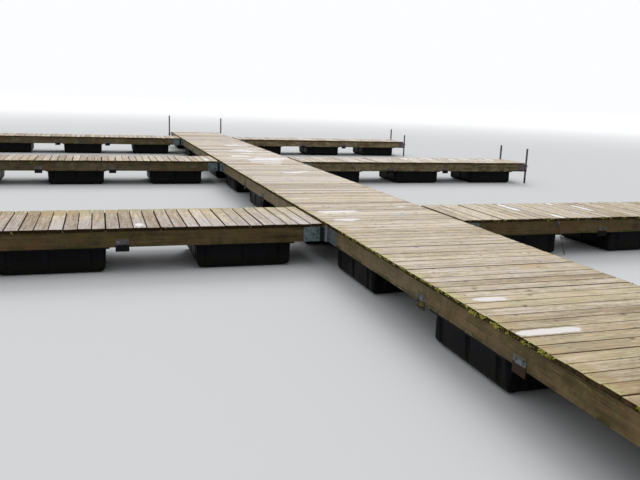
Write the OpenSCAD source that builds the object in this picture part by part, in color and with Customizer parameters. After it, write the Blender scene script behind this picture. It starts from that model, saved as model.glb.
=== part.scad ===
// Floating timber jetty: a straight walkway in bolted bays, with a finger pier on each side of every bay joint.
// Timber frames carry the decks, moulded plastic floats carry the frames, and steel poles hold them in place.
// Millimetres. X runs across the walkway, Y along it away from the shore, Z up from the undersides of the floats.

/* [Walkway] */
// Width of the walkway deck
walk_w = 1829; // [1600:1:2200]
// Length of one bay, which is also the pitch of the fingers
bay_l = 7620; // [7200:10:8400]
// Length of the short end section past the last bay
tail_l = 3208; // [2900:1:4000]
// Stringers side by side in the walkway frame
walk_stringers = 4; // [3:1:5]

/* [Finger piers] */
// Width of a finger deck
finger_w = 1270; // [1100:1:1500]
// Distance from a bay joint to the centre line of its fingers
finger_shift = 160; // [0:10:250]
// Length of a finger
finger_l = 6096; // [5600:10:6800]
// Gap between the walkway deck and a finger deck
finger_gap = 50; // [30:1:80]
// Stringers side by side in a finger frame
finger_stringers = 3; // [2:1:4]
// Free length of finger past the outermost float
float_end_gap = 340; // [250:10:450]

/* [Timber] */
// Thickness of the deck boards
deck_t = 38; // [25:1:50]
// Thickness of a stringer
stringer_t = 38; // [30:1:60]
// Height of a stringer
stringer_h = 184; // [140:1:240]
// Overhang of the deck past the outer stringers
overhang = 20; // [10:1:30]

/* [Floats] */
// Length of a float along its pier
float_l = 1219; // [1000:1:1400]
// Height of a float
float_h = 305; // [260:1:420]
// Width of the bolting flange round the top
flange_w = 38; // [25:1:50]
// Thickness of the bolting flange
flange_t = 16; // [10:1:25]
// Radius of the upright corners of the shell
shell_r = 70; // [40:1:90]
// Radius of the lower edges of the shell
keel_r = 90; // [50:1:110]
// Diameter of the round cut that makes a moulded flute in the shell
flute_w = 96; // [60:1:110]
// Depth of a moulded flute
flute_d = 28; // [14:1:30]
// Usual distance between the middles of two flutes
flute_pitch = 440; // [300:10:520]
// Distance from the end of a float's side to the middle of its first flute
flute_inset = 170; // [160:5:240]

/* [Steel fittings] */
// Thickness of bracket plates
plate_t = 6; // [4:1:10]
// Leg of a hinged corner bracket on the finger
finger_leg = 290; // [230:5:350]
// Leg of a hinged corner bracket on the walkway
walk_leg = 320; // [240:5:380]
// Outer diameter of a hinge knuckle
knuckle_d = 40; // [34:1:48]
// Diameter of a hinge pin
pin_d = 22; // [16:1:26]
// Knuckles on one hinge
knuckles = 5; // [3:2:7]
// Width of a side plate
side_plate_w = 150; // [110:5:220]
// Height of a side plate on the stringer
side_plate_rise = 92; // [70:1:120]
// Drop of a side plate below the stringer
side_plate_drop = 50; // [30:1:60]
// Length of the plates across a bay joint
splice_l = 360; // [300:10:480]
// Height of the plates across a bay joint
splice_h = 140; // [100:5:160]

/* [Poles] */
// Outer diameter of a pole
pole_d = 48.3; // [38:0.1:60]
// Wall of a pole
pole_wall = 3.7; // [2.5:0.1:5]
// Radial clearance between pole and sleeve
pole_clearance = 1.2; // [0.8:0.1:2]
// Wall of a pole sleeve
sleeve_wall = 4.8; // [4:0.1:7]
// Distance from a finger end to the pole axis
pole_off_finger = 45; // [42:1:60]
// Distance from the walkway side to the pole axis
pole_off_walk = 80; // [60:1:100]
// Leg of a pole bracket along the pier
pole_leg = 160; // [120:5:220]
// Leg of a pole bracket across the pier end
pole_foot = 110; // [90:5:140]

/* [Mooring] */
// Wire diameter of a chain link
link_wire = 8; // [6:1:9]
// Inside length of a chain link
link_l = 38; // [32:1:48]
// Inside width of a chain link
link_w = 12; // [11:1:16]

/* [Bay joint] */
// Diameter of the bolt holes in the near end, where the next bay joins on
joint_bolt_d = 18; // [14:1:22]
// Spacing of those holes across the walkway
joint_bolt_x = 1200; // [1000:10:1400]
// Spacing of those holes up the frame
joint_bolt_z = 90; // [60:5:110]

/* [Hidden] */
bays = 3;
sections = bays + 1;
sides = ["left", "right"];
$fn = 48;

// Tops of the poles above the deck: [nearer pole, farther pole] on each pair of fingers, then [left, right] at the end
finger_pole_rise = [[370, 370], [367, 370], [240, 385]];
end_pole_rise = [606, 551];

// Place of the middle float, outwards from a finger's middle: [left finger, right finger] of each pair
middle_float_shift = [[50, -80], [0, 0], [0, 0]];

// Heights
frame_z = float_h;
deck_z = frame_z + stringer_h;
deck_top = deck_z + deck_t;

// Plan
walk_l = bays * bay_l + tail_l;
walk_near = -walk_l / 2;
walk_frame_w = walk_w - 2 * overhang;
finger_frame_w = finger_w - 2 * overhang;
finger_in = walk_w / 2 + finger_gap;

// Place of bay joint n, centre line of its fingers, and length and middle of walkway section n
function joint_y(n) = walk_near + n * bay_l;
function finger_y(n) = joint_y(n) + finger_shift;
function section_l(n) = n < sections ? bay_l : tail_l;
function section_mid(n) = joint_y(n - 1) + section_l(n) / 2;
function side_sign(side) = side == "left" ? -1 : 1;
function float_shift(side, n) = middle_float_shift[n - 1][side == "left" ? 0 : 1];

// Float places along a pier, measured from its middle
finger_float_pitch = finger_l / 2 - float_end_gap - float_l / 2;
walk_float_at = [for (i = [-1:1]) i * bay_l / 3];
tail_float_y = tail_l / 2 - float_end_gap - float_l / 2;

// Side plates straddle the middle float
side_plate_gap = 60;
side_plate_at = float_l / 2 + side_plate_gap + side_plate_w / 2;

// Float shell
shell_draft = 12;

// Hinged corner bracket
pin_clearance = 0.2;
knuckle_gap = 0.3;
pin_head_t = 8;
pin_head_d = pin_d + 12;
knuckle_h = stringer_h / knuckles;
pin_x = walk_frame_w / 2 + knuckle_d / 2;
pin_y = finger_frame_w / 2 + knuckle_d / 2;
corner_r = 12;

// Pole bracket
sleeve_r = pole_d / 2 + pole_clearance + sleeve_wall;
clamp_d = 12;
clamp_head_d = 24;
clamp_head_t = 10;
clamp_reach = sleeve_r + 22;
clamp_z = deck_z - 50;
web_t = 8;

// Mooring chain: hangs straight from an eye under the near side of the right finger at the first joint
chain_x = finger_in + 1460;
chain_lean = 19;
eye_drop = 32;
eye_plate = 64;
eye_wire = 12;
eye_in_r = 16;
eye_weld = 2;
link_gap = 0.3;
link_pitch = link_l - link_gap;
chain_floor = 4;

wood_deck = [0.74, 0.69, 0.58];
wood_frame = [0.33, 0.29, 0.19];
moulded_black = [0.07, 0.07, 0.08];
galvanised = [0.55, 0.59, 0.62];
pole_steel = [0.30, 0.29, 0.33];

// Places its children, drawn for a pier that runs along X with its inner end at X = 0, as finger n on one side
module at_finger(side, n) {
    translate([side_sign(side) * finger_in, finger_y(n), 0])
        mirror([side == "left" ? 1 : 0, 0, 0])
            children();
}

// Repeats its children on both long sides of a pier that runs along X
module both_sides() {
    children();
    mirror([0, 1, 0]) children();
}

// Deck slab: the boards lie edge to edge across the pier, l long and w wide over all
module deck(l, w) {
    color(wood_deck)
        translate([-l / 2, -w / 2, deck_z])
            cube([l, w, deck_t]);
}

// Timber frame along X: stringers, an end joist at both ends, and blocking between the stringers
module frame(l, w, stringers, blocking_at) {
    pitch = (w - stringer_t) / (stringers - 1);
    color(wood_frame)
        translate([0, 0, frame_z])
            union() {
                for (i = [0:stringers - 1])
                    translate([-l / 2, -w / 2 + i * pitch, 0])
                        cube([l, stringer_t, stringer_h]);
                for (x = [-l / 2, l / 2 - stringer_t])
                    translate([x, -w / 2, 0])
                        cube([stringer_t, w, stringer_h]);
                for (x = blocking_at)
                    translate([x - stringer_t / 2, -w / 2, 0])
                        cube([stringer_t, w, stringer_h]);
            }
}

// Side profile of a float shell: upright with a little draft, and round at the foot
module shell_profile(l) {
    top = l / 2 - flange_w;
    foot = top - shell_draft;
    hull_z = float_h - flange_t;
    union() {
        polygon([
            [-foot, keel_r], [foot, keel_r], [top, hull_z], [-top, hull_z]
        ]);
        translate([-foot + keel_r, 0])
            square([2 * (foot - keel_r), keel_r]);
        for (x = [-foot + keel_r, foot - keel_r])
            translate([x, keel_r])
                circle(r = keel_r);
    }
}

// Plan of a float shell or flange with round corners
module round_plan(l, w, r) {
    union() {
        square([l - 2 * r, w], center = true);
        square([l, w - 2 * r], center = true);
        for (x = [-1, 1], y = [-1, 1])
            translate([x * (l / 2 - r), y * (w / 2 - r)])
                circle(r = r);
    }
}

// Places of the flutes on a float's side that is l long, measured from the middle of the side
function flutes_at(l) =
    let (
        last = l / 2 - max(flute_inset, flange_w + shell_r + flute_w / 2),
        steps = max(1, round(2 * last / flute_pitch))
    )
    [for (i = [0:steps]) last * (2 * i / steps - 1)];

// One moulded float, l along X and w across: fluted shell under a bolting flange
module dock_float(l, w) {
    flute_off = flute_w / 2 - flute_d;
    color(moulded_black)
        union() {
            translate([0, 0, float_h - flange_t])
                linear_extrude(height = flange_t)
                    round_plan(l, w, flange_w);
            difference() {
                intersection() {
                    translate([0, w / 2, 0])
                        rotate([90, 0, 0])
                            linear_extrude(height = w)
                                shell_profile(l);
                    translate([-l / 2, 0, 0])
                        rotate([90, 0, 90])
                            linear_extrude(height = l)
                                shell_profile(w);
                    linear_extrude(height = float_h - flange_t)
                        round_plan(l - 2 * flange_w, w - 2 * flange_w, shell_r);
                }
                for (at = flutes_at(l), s = [-1, 1])
                    translate([at, s * (w / 2 - flange_w + flute_off), -1])
                        cylinder(h = float_h - 2 * flange_t, d = flute_w);
                for (at = flutes_at(w), s = [-1, 1])
                    translate([s * (l / 2 - flange_w + flute_off), at, -1])
                        cylinder(h = float_h - 2 * flange_t, d = flute_w);
            }
        }
}

// Knuckles of one hinge leaf about the Z axis: the leaf takes every second place from the given one
module knuckle_stack(first) {
    for (i = [first:2:knuckles - 1])
        translate([0, 0, i * knuckle_h + (i > 0 ? knuckle_gap / 2 : 0)])
            cylinder(
                h = knuckle_h - (i > 0 ? knuckle_gap / 2 : 0) - (i < knuckles - 1 ? knuckle_gap / 2 : 0),
                d = knuckle_d
            );
}

// Tongues that join a leaf's plate to its own knuckles, as wide as reach along X
module leaf_tongues(first, reach) {
    for (i = [first:2:knuckles - 1])
        translate([0, -knuckle_d / 2, i * knuckle_h + (i > 0 ? knuckle_gap / 2 : 0)])
            cube([
                reach,
                plate_t,
                knuckle_h - (i > 0 ? knuckle_gap / 2 : 0) - (i < knuckles - 1 ? knuckle_gap / 2 : 0)
            ]);
}

// Upright plate from x0 to x1 with its far corners cut back, its back on the plane Y = -knuckle_d / 2
module leaf_plate(x0, x1) {
    translate([0, -knuckle_d / 2 + plate_t, 0])
        rotate([90, 0, 0])
            linear_extrude(height = plate_t)
                polygon([
                    [x0, 0], [x1 - corner_r, 0], [x1, corner_r],
                    [x1, stringer_h - corner_r], [x1 - corner_r, stringer_h], [x0, stringer_h]
                ]);
}

// One leaf of the hinge, drawn with its pin on the Z axis and its plate running along X
module hinge_leaf(first, plate_from, plate_to) {
    difference() {
        union() {
            knuckle_stack(first);
            leaf_tongues(first, plate_from + plate_t);
            leaf_plate(plate_from, plate_to);
        }
        translate([0, 0, -1])
            cylinder(h = stringer_h + 2, d = pin_d + 2 * pin_clearance);
    }
}

// Hinged corner bracket between walkway and finger: two leaves and their pin.
// Drawn for a pier along X, on its +Y side, with the inner end of the finger at X = 0.
module corner_hinge() {
    plate_from = knuckle_d / 2 + 2;
    translate([pin_x - finger_in, pin_y, frame_z]) {
        hinge_leaf(0, plate_from, finger_leg);
        mirror([1, -1, 0])
            hinge_leaf(1, plate_from, walk_leg);
        translate([0, 0, -pin_head_t / 2])
            cylinder(h = stringer_h + pin_head_t / 2, d = pin_d);
        translate([0, 0, -pin_head_t])
            cylinder(h = pin_head_t - knuckle_gap, d = pin_head_d);
    }
}

// Sleeve for a pole on the Z axis, its clamp screw turned to point along -X
module pole_sleeve() {
    difference() {
        translate([0, 0, frame_z])
            cylinder(h = stringer_h, r = sleeve_r);
        translate([0, 0, frame_z - 1])
            cylinder(h = stringer_h + 2, d = pole_d + 2 * pole_clearance);
        translate([0, 0, clamp_z])
            rotate([0, 90, 0])
                cylinder(h = clamp_reach, d = clamp_d + 2 * pin_clearance);
    }
}

// Clamp screw that holds a pole in its sleeve, along +X from the pole on the Z axis
module clamp_screw() {
    translate([0, 0, clamp_z])
        rotate([0, 90, 0]) {
            translate([0, 0, pole_d / 2 + pin_clearance])
                cylinder(h = clamp_reach - pole_d / 2 - pin_clearance, d = clamp_d);
            translate([0, 0, clamp_reach - 0.5])
                cylinder(h = clamp_head_t, d = clamp_head_d, $fn = 6);
        }
}

// L plate round the outside corner of a frame: the corner is at the origin, the pier lies towards -X and -Y
module corner_plate(leg_x, leg_y) {
    translate([0, 0, frame_z])
        linear_extrude(height = stringer_h)
            polygon([
                [-leg_x, 0], [0, 0], [0, -leg_y], [plate_t, -leg_y], [plate_t, plate_t], [-leg_x, plate_t]
            ]);
}

// Pole bracket on the outer end of a finger, on its +Y side: the pole stands just past the end
module finger_pole_bracket() {
    translate([finger_l, finger_frame_w / 2, 0]) {
        corner_plate(pole_leg, pole_foot);
        translate([pole_off_finger, 0, 0]) {
            pole_sleeve();
            clamp_screw();
        }
        for (z = [frame_z, deck_z - web_t])
            translate([plate_t - 0.5, -sleeve_r, z])
                difference() {
                    cube([pole_off_finger - plate_t + 0.5, 2 * sleeve_r, web_t]);
                    translate([pole_off_finger - plate_t + 0.5, sleeve_r, -1])
                        cylinder(h = web_t + 2, r = sleeve_r - sleeve_wall / 2);
                }
    }
}

// Pole bracket on the side of the walkway at its far end, on the +X side: the pole stands beside the deck
module walkway_pole_bracket() {
    translate([walk_frame_w / 2, walk_l / 2, 0]) {
        translate([0, -pole_leg, frame_z])
            cube([plate_t, pole_leg, stringer_h]);
        translate([pole_off_walk, -pole_leg / 2, 0]) {
            pole_sleeve();
            clamp_screw();
        }
        for (z = [frame_z, deck_z - web_t])
            translate([plate_t - 0.5, -pole_leg / 2 - sleeve_r, z])
                difference() {
                    cube([pole_off_walk - plate_t + 0.5, 2 * sleeve_r, web_t]);
                    translate([pole_off_walk - plate_t + 0.5, sleeve_r, -1])
                        cylinder(h = web_t + 2, r = sleeve_r - sleeve_wall / 2);
                }
    }
}

// Side plate on the +Y face of a pier at x, turned in under the stringer at its foot
module side_plate(x, face_y) {
    translate([x - side_plate_w / 2, face_y, frame_z - side_plate_drop])
        cube([side_plate_w, plate_t, side_plate_rise + side_plate_drop]);
    translate([x - side_plate_w / 2, face_y - stringer_t, frame_z - plate_t])
        cube([side_plate_w, stringer_t + 1, plate_t]);
}

// Tubular pole on the Z axis, from the foot of the floats to its rise above the deck
module pole(rise) {
    color(pole_steel)
        difference() {
            cylinder(h = deck_top + rise, d = pole_d);
            translate([0, 0, -1])
                cylinder(h = deck_top + rise + 2, d = pole_d - 2 * pole_wall);
        }
}

module walkway_deck(n) {
    translate([0, section_mid(n), 0])
        rotate([0, 0, 90])
            deck(section_l(n), walk_w);
}

module walkway_frame(n) {
    blocking = n < sections ? [-side_plate_at, side_plate_at] : [0];
    difference() {
        translate([0, section_mid(n), 0])
            rotate([0, 0, 90])
                frame(section_l(n), walk_frame_w, walk_stringers, blocking);
        if (n == 1)
            for (x = [-1, 1], z = [-1, 1])
                translate([
                    x * joint_bolt_x / 2,
                    walk_near - 1,
                    frame_z + stringer_h / 2 + z * joint_bolt_z / 2
                ])
                    rotate([-90, 0, 0])
                        cylinder(h = stringer_t + 2, d = joint_bolt_d);
    }
}

module walkway_floats(n) {
    places = n < sections ? walk_float_at : [tail_float_y];
    for (y = places)
        translate([0, section_mid(n) + y, 0])
            rotate([0, 0, 90])
                dock_float(float_l, walk_frame_w);
}

module finger_deck(side, n) {
    at_finger(side, n)
        translate([finger_l / 2, 0, 0])
            deck(finger_l, finger_w);
}

module finger_frame(side, n) {
    at_finger(side, n)
        translate([finger_l / 2, 0, 0])
            frame(
                finger_l,
                finger_frame_w,
                finger_stringers,
                [for (i = [-1, 1]) float_shift(side, n) + i * side_plate_at]
            );
}

module finger_floats(side, n) {
    at_finger(side, n)
        for (x = [-finger_float_pitch, float_shift(side, n), finger_float_pitch])
            translate([finger_l / 2 + x, 0, 0])
                dock_float(float_l, finger_frame_w);
}

// Hinged corners at the walkway, side plates at the middle float, and pole brackets at the outer end
module finger_brackets(side, n) {
    color(galvanised)
        at_finger(side, n)
            both_sides() {
                corner_hinge();
                for (i = [-1, 1])
                    side_plate(finger_l / 2 + float_shift(side, n) + i * side_plate_at, finger_frame_w / 2);
                finger_pole_bracket();
            }
}

module finger_poles(side, n) {
    at_finger(side, n)
        for (i = [0, 1])
            translate([finger_l + pole_off_finger, (2 * i - 1) * finger_frame_w / 2, 0])
                pole(finger_pole_rise[n - 1][i]);
}

// Side plates of each bay, splice plates across each bay joint, and the pole brackets at the far end
module walkway_brackets() {
    color(galvanised) {
        for (n = [1:bays])
            translate([0, section_mid(n), 0])
                rotate([0, 0, 90])
                    both_sides()
                        for (y = [-side_plate_at, side_plate_at])
                            side_plate(y, walk_frame_w / 2);
        for (n = [1:bays], s = [-1, 1])
            translate([
                s > 0 ? walk_frame_w / 2 : -walk_frame_w / 2 - plate_t,
                joint_y(n) - splice_l / 2,
                frame_z + (stringer_h - splice_h) / 2
            ])
                cube([plate_t, splice_l, splice_h]);
        walkway_pole_bracket();
        mirror([1, 0, 0]) walkway_pole_bracket();
    }
}

module walkway_end_poles() {
    for (i = [0, 1])
        translate([(2 * i - 1) * (walk_frame_w / 2 + pole_off_walk), walk_l / 2 - pole_leg / 2, 0])
            pole(end_pole_rise[i]);
}

// One chain link about the origin, its length along Z and its flat in the XZ plane
module chain_link() {
    r = (link_w + link_wire) / 2;
    half = (link_l + link_wire) / 2 - r;
    for (s = [0, 180])
        rotate([0, s, 0])
            translate([0, 0, half])
                rotate([90, 0, 0])
                    rotate_extrude(angle = 180)
                        translate([r, 0])
                            circle(d = link_wire, $fn = 16);
    for (s = [-1, 1])
        translate([s * r, 0, -half])
            cylinder(h = 2 * half, d = link_wire, $fn = 16);
}

// Chain and the eye that carries it
module mooring_chain() {
    eye_y = -finger_frame_w / 2 - plate_t - eye_in_r - eye_wire + eye_weld;
    eye_z = deck_z - eye_drop;
    first = eye_in_r + link_l / 2 - link_gap;
    drop = (eye_z - chain_floor) / cos(chain_lean) - first;
    links = floor((drop - link_l / 2 - link_wire) / link_pitch) + 1;
    color(galvanised)
        translate([chain_x, finger_y(1), 0]) {
            translate([-eye_plate / 2, -finger_frame_w / 2 - plate_t, eye_z - eye_plate / 2])
                cube([eye_plate, plate_t, eye_plate]);
            translate([0, eye_y, eye_z])
                rotate([0, 90, 0])
                    rotate_extrude()
                        translate([eye_in_r + eye_wire / 2, 0])
                            circle(d = eye_wire, $fn = 16);
            translate([0, eye_y, eye_z])
                rotate([0, 180 - chain_lean, 0])
                    for (i = [0:links - 1])
                        translate([0, 0, first + i * link_pitch])
                            rotate([0, 0, i % 2 == 0 ? 0 : 90])
                                chain_link();
        }
}

for (n = [1:sections]) {
    walkway_deck(n);
    walkway_frame(n);
    walkway_floats(n);
}
for (s = sides, n = [1:bays]) {
    finger_deck(s, n);
    finger_frame(s, n);
    finger_floats(s, n);
    finger_brackets(s, n);
    finger_poles(s, n);
}
walkway_brackets();
walkway_end_poles();
mooring_chain();
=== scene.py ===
"""Looks of the floating timber jetty: boards, nails, bolts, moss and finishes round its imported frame.

The file is laid out as an add-on. Its panel lists one operator for each group of pieces, and
main() calls them in order. Lengths are in metres, in the frame's own axes: X across the walkway,
Y along it away from the shore, Z up from the undersides of the floats.
"""

import math

import bpy
import numpy as np
from mathutils import Matrix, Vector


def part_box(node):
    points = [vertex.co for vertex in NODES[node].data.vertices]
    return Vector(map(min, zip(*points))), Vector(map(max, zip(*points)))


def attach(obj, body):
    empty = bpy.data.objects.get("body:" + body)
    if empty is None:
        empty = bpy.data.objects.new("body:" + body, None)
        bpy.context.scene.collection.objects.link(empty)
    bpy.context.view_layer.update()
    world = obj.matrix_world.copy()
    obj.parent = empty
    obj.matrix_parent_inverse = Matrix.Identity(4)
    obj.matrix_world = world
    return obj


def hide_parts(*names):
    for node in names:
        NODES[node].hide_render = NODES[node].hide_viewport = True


bl_info = {
    "name": "Timber jetty looks",
    "version": (1, 0, 0),
    "blender": (4, 5, 0),
    "location": "View3D > Sidebar > Jetty",
    "description": "Lays the boards of a floating timber jetty and finishes its frames, floats and fittings",
    "category": "Object",
}

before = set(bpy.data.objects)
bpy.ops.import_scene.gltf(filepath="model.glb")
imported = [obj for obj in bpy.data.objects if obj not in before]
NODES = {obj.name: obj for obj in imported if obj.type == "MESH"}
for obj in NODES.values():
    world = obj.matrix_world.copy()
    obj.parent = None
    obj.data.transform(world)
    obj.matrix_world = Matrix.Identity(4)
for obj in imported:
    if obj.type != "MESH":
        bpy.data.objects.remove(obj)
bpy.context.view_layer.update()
SEED = 7

SECTIONS = range(1, 5)
FINGER_NAMES = [f"{side}_{n}" for side in ("left", "right") for n in range(1, 4)]

DECK_LOW, DECK_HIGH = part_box("walkway_deck_1")
FRAME_LOW, FRAME_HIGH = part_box("walkway_frame_1")
DECK_TOP = DECK_HIGH.z
DECK_UNDER = DECK_LOW.z
FRAME_UNDER = FRAME_LOW.z

# Thickness of a stringer and of a steel plate, and how far a hinge pin stands out from both frames
STRINGER = 0.038
PLATE = 0.006
HINGE_PIN = 0.020

# Places of the side plates, from the middle of their stringer or of their finger's middle float
SIDE_PLATES = np.array([-0.7445, 0.7445])
MIDDLE_FLOAT_SHIFT = {"left_1": 0.050, "right_1": -0.080}

# Places of the bolts: their distance from a stringer's edge, their height on side plates, and their
# distances from the hinge pin, from the end or side of a frame, or from the middle of a plate
BOLT_INSET = 0.045
SIDE_BOLT_RISE = 0.055
FINGER_LEAF_BOLTS = np.array([0.115, 0.245])
WALKWAY_LEAF_BOLTS = np.array([0.105, 0.275])
POLE_BRACKET_BOLTS = np.array([0.055, 0.130])
OUTER_END_BOLT = 0.085
SIDE_PLATE_BOLTS = np.array([-0.045, 0.045])
JOINT_PLATE_BOLTS = np.array([-0.14, -0.05, 0.05, 0.14])
END_BRACKET_BOLTS = np.array([0.022, 0.138])

# Wet stretches of boards, painted near white as a glare of the sky's reflection: the board's place
# along its deck, and where the stretch starts and ends
WET_GLARE_RUNS = {
    "walkway_deck_1": [(-9.89, -0.91, -0.38), (-9.13, -0.79, -0.49), (-10.78, 0.10, 0.55)],
    "walkway_deck_2": [(-4.70, 0.52, 0.66)],
    "walkway_deck_3": [
        (2.31, -0.63, 0.85), (3.25, -0.20, 0.88), (3.45, 0.30, 0.80), (4.73, -0.80, 0.78),
        (4.88, -0.75, 0.75), (5.60, 0.30, 0.70), (6.15, 0.30, 0.60), (8.30, -0.35, -0.15),
        (8.30, 0.45, 0.65),
    ],
    "finger_deck_right_1": [
        (2.28, -5.26, -4.69), (3.35, -5.37, -4.87), (2.50, -5.87, -5.58), (3.08, -4.80, -4.64),
    ],
    "finger_deck_right_2": [
        (4.05, 2.48, 2.77), (4.35, 2.30, 2.90), (4.80, 2.45, 2.95), (5.40, 2.20, 2.75),
        (5.85, 2.50, 2.95), (6.30, 2.10, 2.70), (6.60, 2.40, 2.90),
    ],
    "finger_deck_left_1": [(-3.17, -5.80, -5.60), (-4.85, -5.60, -5.10), (-5.90, -5.50, -5.00)],
    "finger_deck_left_2": [(-1.18, 1.89, 2.37)],
}

# Boards that are wet from edge to edge, with the same painted glare: how far from its place a stretch
# covers more boards, and the stretches, given in the same way
WET_GLARE_POOLS = {
    "walkway_deck_1": (0.0, [(-5.66, -0.73, -0.42)]),
    "walkway_deck_2": (0.0, [
        (-5.01, -0.75, -0.20), (-0.38, -0.04, 0.36), (-0.20, 0.30, 0.57), (1.18, -0.08, 0.37),
        (1.62, -0.25, 0.45), (1.75, 0.30, 0.48), (2.10, -0.22, 0.60),
    ]),
    "walkway_deck_3": (0.1, [
        (2.45, -0.05, 0.72), (2.62, 0.28, 0.85), (2.88, 0.10, 0.33), (3.10, -0.44, 0.03),
        (3.90, -0.05, 0.35), (4.05, 0.48, 0.80), (4.35, 0.20, 0.40), (4.60, -0.26, 0.40),
        (4.95, -0.10, 0.65), (6.55, 0.04, 0.42), (6.75, 0.05, 0.80),
    ]),
}

# Orange-stained stretches, given in the same way
STAINED_RUNS = {
    "finger_deck_left_1": [
        (-4.20, -5.00, -4.62), (-4.05, -5.02, -4.62), (-3.90, -4.95, -4.62), (-3.45, -4.90, -4.62),
        (-4.82, -4.95, -4.62), (-5.60, -5.40, -4.80),
    ],
    "walkway_deck_1": [(-10.90, -0.75, -0.45), (-8.20, 0.20, 0.55)],
}

# How decks differ: usual tone of the boards, its spread, their lowest and highest hue, how far their
# colour leans from lilac at the near end of each board to yellow at its far end, and how pale the board
# ends are painted, from near black dirt and painted shade to pale dirt
USUAL_WEATHER = (0.64, 0.24, 0.39, 1.1, -0.5, 0.7)
WEATHER = {
    "walkway_deck_1": (0.565, 0.15, -0.15, 0.55, 0.0, 0.65),
    "walkway_deck_2": (0.73, 0.31, 0.37, 1.05, 0.0, 0.8),
    "walkway_deck_3": (0.76, 0.38, 0.39, 1.1, 0.0, 0.8),
    "walkway_deck_4": (0.74, 0.42, 0.39, 1.1, 0.0, 0.8),
    "finger_deck_left_1": (0.52, 0.20, 0.35, 1.0, 1.5, 0.2),
    "finger_deck_right_1": (0.64, 0.17, 0.21, 0.6, 0.1, 0.3),
    "finger_deck_left_2": (0.62, 0.20, 0.35, 1.0, -0.5, 0.6),
    "finger_deck_right_2": (0.68, 0.22, 0.39, 1.1, -0.5, 0.8),
}

# How far the tone and the hue of the walkway's first bay rise from its near end to its far end
NEAR_BAY_RISE = (0.09, 0.5)

# Half the stretch of walkway beside each finger whose board ends are sheltered and stay bare wood
SHELTER = 0.66

# The walkway's board ends are bare and reddish before the first place, and dirty after the second
BARE_ENDS = (-10.9, -10.3)

# The walkway's outer stringers dry from the first place on and are dry after the second
DRYING = (-10.8, -6.8)

# How far from a board's ends its algae reach, and how strong they are at most at its two ends
ALGAE_REACH = 0.15
WALKWAY_ALGAE = (1.71, 0.54)
FINGER_ALGAE = (0.4, 0.4)

# How much dirt and painted shade the long edges of the boards' tops take on the walkway and on the fingers
EDGE_DIRT_AND_SHADE = (0.24, 0.34)

# Length of a fade at the ends of a wet or stained stretch, and how wet a pool is where a stretch counts 1,
# which also sets the strength of its painted glare
RUN_FADE = 0.12
POOL_GLARE_STRENGTH = 1.45

# Distance between the stations along a board, and how far its first and last are drawn in
STATION = 0.08
END_EASE = 0.0025

# Places of a board's nails, as shares of its width, and how far they stray across and along the board
NAILS = (-0.29, 0.29)
NAIL_STRAY = (0.004, 0.005)

# Share of the moss tufts that grow anywhere along their bed
STRAY_TUFTS = 0.08

# A small bed of moss hangs from the foot of one of the walkway's side plates: its place and its tufts
MOSSY_FOOT = -8.48
FOOT_TUFTS = 40

# Distances from the walkway's middle line: of the hinges' knuckles, of the outer edge of their leaves
# on the walkway, and from where on the plates are the fingers' side plates
KNUCKLES = DECK_HIGH.x + 0.055
LEAF_EDGE = DECK_HIGH.x + 0.022
FINGER_PLATES = 1.4

# The photograph's camera: its place, its yaw to the right, pitch down and roll, and its lens in mm
CAMERA_PLACE = (-3.538, -13.643, 2.038)
CAMERA_TURN = (18.142, 11.871, 2.103)
CAMERA_LENS = 38.38


def length(name, description, default):
    """A length that a user may change."""
    return bpy.props.FloatProperty(name=name, description=description, default=default, unit="LENGTH")


def colour(name, thing, *default):
    """A colour that a user may change, described as that of a thing."""
    return bpy.props.FloatVectorProperty(
        name=name, description=f"Colour of {thing}", default=default, subtype="COLOR",
    )


class JettyBoards(bpy.types.PropertyGroup):
    """Sizes and colours of the deck boards"""

    pitch: length("Pitch", "Distance from one board to the next", 0.1492)
    wide_pitch: length("Wide pitch", "Distance from one board to the next on the first bay", 0.1524)
    joint: length("Joint", "How far the first and last board of a bay stand back from its end", 0.004)
    gap: length("Gap", "Usual width of the open joint between two boards of the walkway", 0.0065)
    finger_gap: length("Finger gap", "Usual width of the open joint between two boards of a finger", 0.011)
    arris: length("Arris", "Radius of the eased long edges", 0.005)
    uneven: length("Unevenness", "How much lower than the deck's top a board may lie", 0.0035)
    ragged: length("Ragged ends", "How much a board may stand back from the deck's edges", 0.008)
    bright: colour("Bright wood", "the palest weathered wood", 0.85, 0.72, 0.535)
    dull: colour("Dull wood", "the darkest weathered wood", 0.30, 0.20, 0.105)
    pink: colour("Lilac wood", "the damp boards that look lilac grey", 0.68, 0.605, 0.60)
    green: colour("Algae tint", "the thin algae film on the boards", 0.60, 0.53, 0.27)
    algae: colour("Edge algae", "the algae near the boards' ends", 0.58, 0.56, 0.20)
    stain: colour("Orange stain", "the orange stains on the boards", 0.57, 0.37, 0.15)
    # Near black: dirt in the cracks, and dirt with painted shade on the board sides in the joints and on the
    # board ends
    grime_and_shade: colour("Grime", "the dirt in the joints and on the board ends", 0.022, 0.012, 0.004)
    # Dirt along the long edges, which also paints the shade on the eased edges that face away from the sun
    arris_dirt_and_shade: colour("Arris dirt", "the dirt along the boards' long edges", 0.120, 0.070, 0.030)
    end_dirt: colour("End dirt", "the palest dirt on the board ends", 0.130, 0.094, 0.045)
    end_grain: colour("End grain", "the bare board ends", 0.30, 0.150, 0.085)
    # Near white: a painted glare that stands for the sky's reflection on wet boards
    wet_glare: colour("Wet patch", "a wet patch under an open sky", 1.0, 0.925, 0.895)
    knot: colour("Knots", "the knots", 0.15, 0.085, 0.04)


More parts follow.
